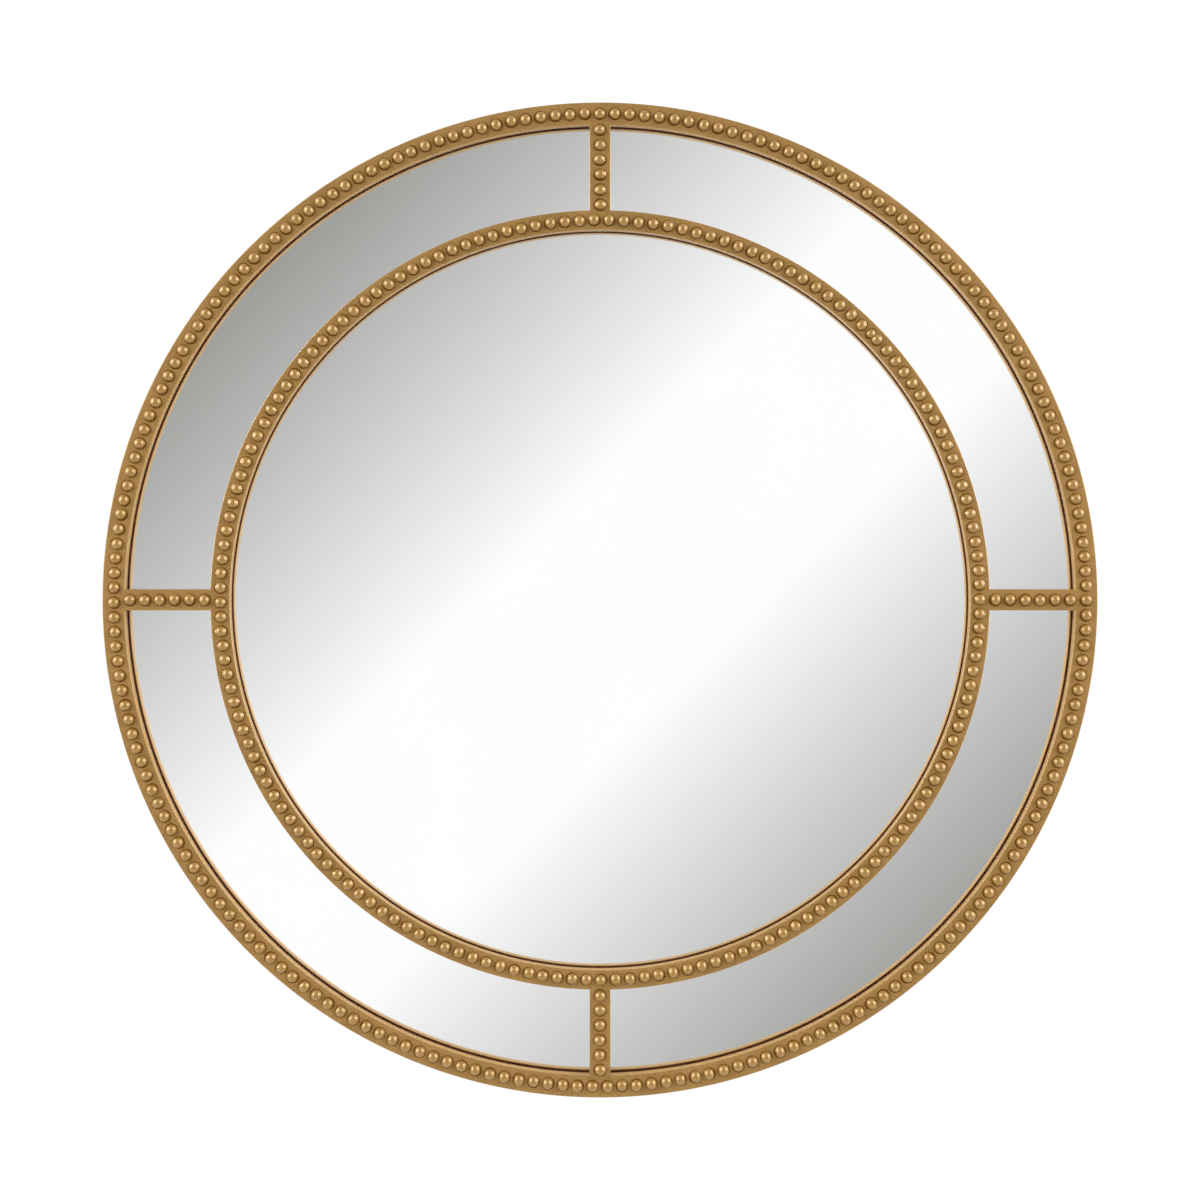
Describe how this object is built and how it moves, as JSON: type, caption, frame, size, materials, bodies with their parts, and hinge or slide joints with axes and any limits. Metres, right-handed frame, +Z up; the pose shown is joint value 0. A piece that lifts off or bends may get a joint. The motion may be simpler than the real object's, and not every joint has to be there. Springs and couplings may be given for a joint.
{
  "type": "beaded wall mirror",
  "caption": "Round wall mirror in panes, held by two concentric beaded rings and beaded spokes in antique gold, with swinging D-ring hangers on its back panel.",
  "frame": {"origin": "centre of the mirror in the plane of the wall that it hangs on", "axes": "+Z up, +X to the viewer's right, -Y out of the wall towards the viewer"},
  "size_m": [0.9143, 0.0372, 0.9144],
  "materials": {
    "gold_frame": "antique gold paint on fibreboard",
    "gold_beads": "antique gold paint on turned wood",
    "mirror_glass": "silvered float glass",
    "fibreboard": "raw fibreboard",
    "foam_tape": "white foam tape",
    "zinc_screws": "zinc plated",
    "zinc_hangers": "zinc plated",
    "rubber_bumpers": "matt"
  },
  "bodies": {
    "mirror": {"outer_ring": "gold_frame", "inner_ring": "gold_frame", "spoke_top": "gold_frame", "spoke_right": "gold_frame", "spoke_bottom": "gold_frame", "spoke_left": "gold_frame", "outer_bead_strip": "gold_beads", "inner_bead_strip": "gold_beads", "spoke_beads_top": "gold_beads", "spoke_beads_right": "gold_beads", "spoke_beads_bottom": "gold_beads", "spoke_beads_left": "gold_beads", "centre_mirror": "mirror_glass", "quarter_mirror_top_right": "mirror_glass", "quarter_mirror_top_left": "mirror_glass", "quarter_mirror_bottom_left": "mirror_glass", "quarter_mirror_bottom_right": "mirror_glass", "back_panel": "fibreboard", "centre_mirror_pads": "foam_tape", "quarter_mirror_pads": "foam_tape", "outer_ring_screws": "zinc_screws", "inner_ring_screws": "zinc_screws", "spoke_screws": "zinc_screws", "hanger_strap_left": "zinc_hangers", "hanger_strap_right": "zinc_hangers", "hanger_screws_left": "zinc_screws", "hanger_screws_right": "zinc_screws", "wall_bumpers": "rubber_bumpers"},
    "left_ring": {"hanger_ring_left": "zinc_hangers"},
    "right_ring": {"hanger_ring_right": "zinc_hangers"}
  },
  "joints": [
    {"name": "left_ring_swing", "type": "hinge", "parent": "mirror", "child": "left_ring", "pos_m": [-0.2032, -0.00492, 0.3], "axis": [-1, 0, 0], "range_deg": [0, 180]},
    {"name": "right_ring_swing", "type": "hinge", "parent": "mirror", "child": "right_ring", "pos_m": [0.2032, -0.00492, 0.3], "axis": [-1, 0, 0], "range_deg": [0, 180]}
  ]
}
